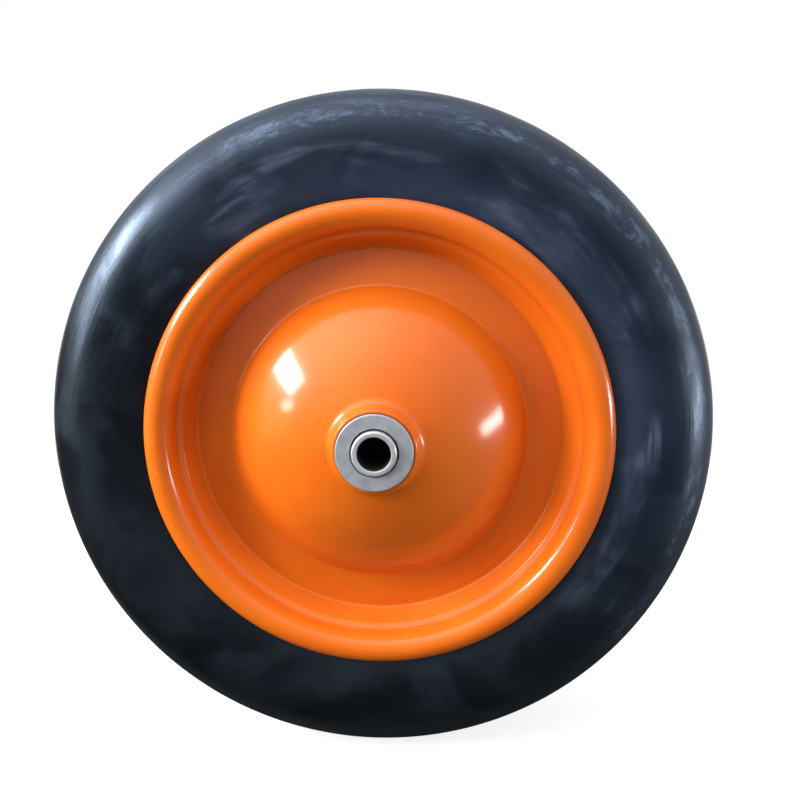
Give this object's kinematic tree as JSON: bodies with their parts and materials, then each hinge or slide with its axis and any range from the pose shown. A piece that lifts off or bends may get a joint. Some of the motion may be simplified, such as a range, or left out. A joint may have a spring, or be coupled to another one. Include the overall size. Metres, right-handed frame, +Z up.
{
  "type": "wheelbarrow wheel",
  "caption": "Solid rubber barrow wheel on a rolled steel rim with two domed discs, a hub tube and two ball bearings.",
  "frame": {"origin": "centre of the wheel, on the axle's line", "axes": "+Y along the axle, with the side that usually shows at -Y; +Z up, across the wheel"},
  "size_m": [0.3516, 0.134, 0.3516],
  "materials": {
    "rubber": "solid rubber, satin, dusty on the sidewall",
    "enamel": "glossy orange stove enamel",
    "tube_steel": "drawn steel tube, bare",
    "bearing_steel": "turned bearing steel",
    "zinc_plate": "zinc plate, satin",
    "ball_steel": "ground steel balls"
  },
  "bodies": {
    "axle_core": {"front_inner_race": "bearing_steel", "rear_inner_race": "bearing_steel", "spacer_tube": "tube_steel"},
    "wheel": {"tyre": "rubber", "rim": "enamel", "hub_tube": "tube_steel", "front_disc": "enamel", "front_outer_race": "bearing_steel", "front_bearing_flange": "zinc_plate", "rear_disc": "enamel", "rear_outer_race": "bearing_steel", "rear_bearing_flange": "zinc_plate"},
    "front_balls": {"front_ball_1": "ball_steel", "front_ball_2": "ball_steel", "front_ball_3": "ball_steel", "front_ball_4": "ball_steel", "front_ball_5": "ball_steel", "front_ball_6": "ball_steel", "front_ball_7": "ball_steel", "front_ball_8": "ball_steel", "front_ball_9": "ball_steel", "front_ball_10": "ball_steel", "front_ball_11": "ball_steel", "front_ball_12": "ball_steel"},
    "rear_balls": {"rear_ball_1": "ball_steel", "rear_ball_2": "ball_steel", "rear_ball_3": "ball_steel", "rear_ball_4": "ball_steel", "rear_ball_5": "ball_steel", "rear_ball_6": "ball_steel", "rear_ball_7": "ball_steel", "rear_ball_8": "ball_steel", "rear_ball_9": "ball_steel", "rear_ball_10": "ball_steel", "rear_ball_11": "ball_steel", "rear_ball_12": "ball_steel"}
  },
  "joints": [
    {"name": "wheel_spin", "type": "hinge", "parent": "axle_core", "child": "wheel", "pos_m": [0, 0, 0], "axis": [0, 1, 0], "continuous": true},
    {"name": "front_balls_roll", "type": "hinge", "parent": "axle_core", "child": "front_balls", "pos_m": [0, 0, 0], "axis": [0, 1, 0], "continuous": true},
    {"name": "rear_balls_roll", "type": "hinge", "parent": "axle_core", "child": "rear_balls", "pos_m": [0, 0, 0], "axis": [0, 1, 0], "continuous": true}
  ],
  "couplings": [
    {"joint": "front_balls_roll", "follows": "wheel_spin", "ratio": 0.625},
    {"joint": "rear_balls_roll", "follows": "wheel_spin", "ratio": 0.625}
  ]
}
